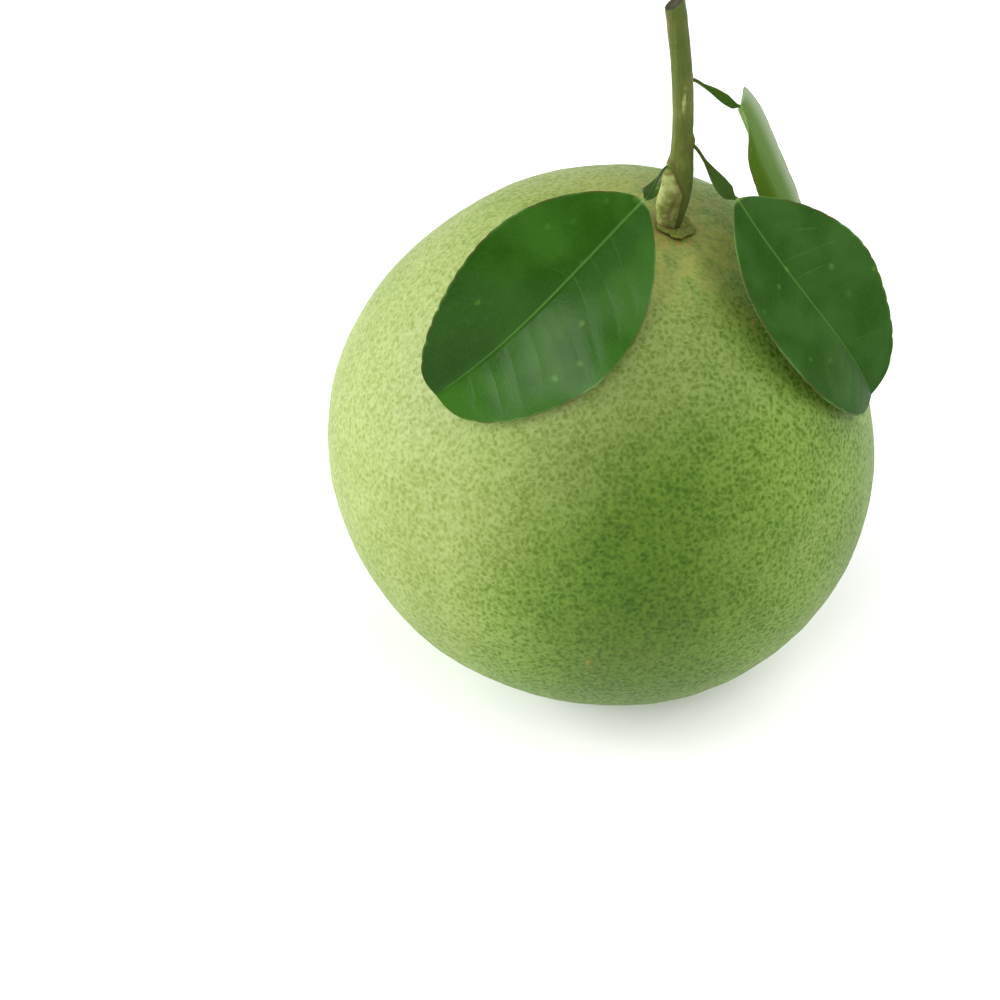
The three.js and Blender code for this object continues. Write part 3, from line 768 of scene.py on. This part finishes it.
def leaf_bend(leaf, offset, share, in_blade):
    """How far each point lies to the side of the midrib and above it, as the halves fold, droop and wave."""
    half_width, out = leaf["half_width"], np.abs(offset)
    bend, start = math.radians(leaf["droop"]) / half_width, math.radians(leaf["fold"])
    across = np.sign(offset) * (np.sin(start) - np.sin(start - bend * out)) / bend
    rise = (np.cos(start - bend * out) - np.cos(start)) / bend
    height, count, phase = leaf["wave"]
    wave = in_blade * height * np.sin(2 * np.pi * count * share + phase)
    return across, rise + wave * (out / half_width) ** 2


def vein_phase(half_width, length, offset, share):
    """A number that is whole along each side vein, which runs out and on towards the tip."""
    lag = VEIN_SLOPE * half_width / length * 2 * (np.abs(offset) / half_width) ** VEIN_CURVE
    half = np.sign(offset)
    drift = 0.16 * np.sin(9.1 * share + 1.7 * half) + 0.12 * np.sin(23 * share + half_width * half)
    return (share - lag) * length / VEIN_PITCH + 0.45 * (offset > 0) + drift


def petiole_skins(offset, width):
    """Heights of a petiole's upper and under face: a round stalk with thin wings."""
    core = np.minimum(STALK_ROUND * 1.05, width)
    round_part = np.sqrt(np.clip(1 - (offset / core) ** 2, 0, 1))
    wing = WING_HALF_THICKNESS * np.sqrt(np.clip(1 - (np.abs(offset) / width) ** 6, WING_EDGE, 1))
    top = np.maximum(STALK_MIDDLE + STALK_RISE * round_part, STALK_MIDDLE + wing)
    bottom = np.minimum(STALK_MIDDLE - STALK_DROP * round_part, STALK_MIDDLE - wing)
    return top, bottom


def blade_skins(offset, margin, share, vein, in_blade):
    """Heights of a blade's upper and under face, with its rib, its groove and the quilting between veins."""
    out = np.abs(offset)
    dip = swell(np.abs((vein + 0.5) % 1 - 0.5), 0, VEIN_GROOVE_SPREAD)
    settle = smooth(margin, 1.0, 6.0) * in_blade * smooth(share, 0.03, 0.15) * (1 - smooth(share, 0.9, 0.98))
    settle = settle * smooth(out, 0.6, 3.0)
    relief = settle * (QUILT * (np.cos(2 * np.pi * (vein + 0.5)) * 0.5) - VEIN_GROOVE * dip)
    groove = in_blade * GROOVE * (1 - share) ** 0.5 * swell(out, 0, 0.55) * smooth(margin, 0.2, 1.5)
    rib_depth = in_blade * RIB_DEPTH * (1 - share) ** 0.7 * swell(out, 0, RIB_HALF_WIDTH * 0.55)
    thickness = mix(LEAF_EDGE, LEAF_BODY, smooth(margin, 0, LEAF_THINS))
    top = BLADE_THICKNESS / 2 + relief - groove
    bottom = BLADE_THICKNESS / 2 - thickness + relief * 0.8 - rib_depth
    return top, bottom


def sheet_faces(rows, columns):
    """The faces of an upper skin, an under skin and the edge that joins them."""
    index = np.arange(rows * columns).reshape(rows, columns)
    quads = np.stack([index[:-1, :-1], index[1:, :-1], index[1:, 1:], index[:-1, 1:]], axis=-1).reshape(-1, 4)
    loop = np.concatenate([index[:, 0], index[-1, 1:], index[-2::-1, -1], index[0, -2:0:-1]])
    after = np.roll(loop, -1)
    under = rows * columns
    edge = np.stack([loop, loop + under, after + under, after], axis=-1)
    return np.vstack([quads, quads[:, ::-1] + under, edge])


def on_both(values):
    """The same values for both skins."""
    return np.concatenate([values.ravel(), values.ravel()])


def make_leaf(name, leaf, material):
    petiole, blade = leaf_paths(leaf)
    length, half_width = blade.length(), leaf["half_width"]
    petiole_share = np.arange(PETIOLE_ROWS) / PETIOLE_ROWS
    blade_share = np.linspace(0, 1, BLADE_ROWS + 1)
    centre = np.vstack([petiole.at(petiole_share), blade.at(blade_share)])
    tangent = np.vstack([petiole.tangent(petiole_share), blade.tangent(blade_share)])
    face, side = leaf_directions(leaf, tangent, petiole_share, blade_share)

    in_blade = np.concatenate([np.zeros(PETIOLE_ROWS), np.ones(BLADE_ROWS + 1)])[:, None]
    share = np.concatenate([petiole_share, blade_share])[:, None]
    blade_width = half_width * blade_outline(share) - crenation(share, round(length / CRENATION_PITCH))
    width = np.where(in_blade > 0, np.maximum(blade_width, STALK_ROUND), wing_outline(share))
    offset = leaf_offsets(width, in_blade)
    margin = width - np.abs(offset)
    across, rise = leaf_bend(leaf, offset, share, in_blade)
    vein = vein_phase(half_width, length, offset, share)

    into = np.where(in_blade > 0, smooth(share, 0, 0.05), 0.0)
    flat = centre[:, None] + across[..., None] * side[:, None]
    skins = []
    for stalk, sheet in zip(petiole_skins(offset, width), blade_skins(offset, margin, share, vein, in_blade)):
        skin = flat + (rise + mix(stalk, sheet, into))[..., None] * face[:, None]
        skins.append(skin.reshape(-1, 3))
    points = np.vstack(skins)
    floats = {
        "upper": np.repeat([1.0, 0.0], offset.size),
        "along": on_both(np.where(in_blade > 0, share, share - 1) + 0 * offset),
        "rib": on_both(np.abs(offset)),
        "margin": on_both(np.where(in_blade > 0, margin, FAR_FROM_MARGIN)),
        "vein": on_both(vein * in_blade + 0.5 * (1 - in_blade) + 20),
        "side": on_both(in_blade * offset / width),
    }
    make_piece(name, points, [sheet_faces(*offset.shape)], material, floats)


# ---------------------------------------------------------------- stage

FLOOR_HALF_SIDE = 6.0
FLOOR_TINTS = (0.90, 0.90, 0.90), (0.92, 0.92, 0.92)
MIDDLE = (0.0, 0.0, 0.09)
WIDE = 1.3
LIGHTS = {  # place, diameter or sides in metres, watts
    "left_low": ((-1.642, 0.000, 0.530), WIDE, 44.0),
    "left_back": ((-1.262, 0.884, 0.808), WIDE, 12.0),
    "front_left": ((-0.557, -1.379, 0.914), (0.40, 0.9), 11.2),
    "back_right": ((0.895, 1.067, 1.065), WIDE, 9.0),
    "right_low": ((1.597, 0.000, 0.671), WIDE, 6.0),
    "right_high": ((0.975, 0.000, 1.483), WIDE, 8.4),
    "right_front": ((0.921, -0.921, 1.183), WIDE, 8.4),
    "camera_top": ((0.000, -0.718, 1.631), WIDE, 5.6),
}
SKY = 0.28
LENS, SENSOR = 123.5, 36.0
CAMERA_PLACE, CAMERA_AIM = (-30.6, -777.2, 702.6), (-30.6, -11.1, 59.8)


def aimed(location, aim):
    """The rotation of a light or camera at location that looks at aim."""
    return (Vector(aim) - Vector(location)).to_track_quat("-Z", "Y").to_euler()


def make_stage():
    s = Surface("white_floor", Specular_IOR_Level=0.0, Roughness=1.0)
    s.feed(s.shader.inputs["Base Color"], s.blend(s.noise(300, detail=1), *FLOOR_TINTS))
    mesh = bpy.data.meshes.new("floor")
    corners = [(x * FLOOR_HALF_SIDE, y * FLOOR_HALF_SIDE, 0) for x, y in ((-1, -1), (1, -1), (1, 1), (-1, 1))]
    mesh.from_pydata(corners, [], [(0, 1, 2, 3)])
    mesh.materials.append(s.material)
    floor = bpy.data.objects.new("floor", mesh)
    bpy.context.scene.collection.objects.link(floor)


def add_light(name, location, size, power):
    """A lamp as a disk, or as a rectangle where size is its width and height."""
    data = bpy.data.lights.new(name, "AREA")
    data.energy = power
    if isinstance(size, tuple):
        data.shape, (data.size, data.size_y) = "RECTANGLE", size
    else:
        data.shape, data.size = "DISK", size
    light = bpy.data.objects.new(name, data)
    light.location = location
    light.rotation_euler = aimed(location, MIDDLE)
    bpy.context.scene.collection.objects.link(light)


def make_lights():
    for name, light in LIGHTS.items():
        add_light(name, *light)
    world = bpy.data.worlds.new("studio")
    world.use_nodes = True
    world.node_tree.nodes["Background"].inputs["Color"].default_value = (1, 1, 1, 1)
    world.node_tree.nodes["Background"].inputs["Strength"].default_value = SKY
    bpy.context.scene.world = world


def make_camera():
    data = bpy.data.cameras.new("camera")
    data.lens, data.sensor_width = LENS, SENSOR
    camera = bpy.data.objects.new("camera", data)
    camera.location = Vector(CAMERA_PLACE) * MM
    camera.rotation_euler = aimed(camera.location, Vector(CAMERA_AIM) * MM)
    bpy.context.scene.collection.objects.link(camera)
    bpy.context.scene.camera = camera


make_camera()
make_stage()
make_lights()
bpy.context.scene.view_settings.view_transform = "Standard"

make_fruit()
make_calyx()
make_twig()
leaf_materials = {
    "leaf_front": leaf_surface("leaf_glossy", 0.10, shade=0.6),
    "leaf_right": leaf_surface("leaf_dull", 0.02, tints=BLUER_TINTS, midrib=0.42),
    "leaf_back": leaf_surface("leaf_turned_sheen", 0.0, blade=TURNED_BLADE_AND_SHEEN),
}
for leaf_name, leaf_data in LEAVES.items():
    make_leaf(leaf_name, leaf_data, leaf_materials[leaf_name])
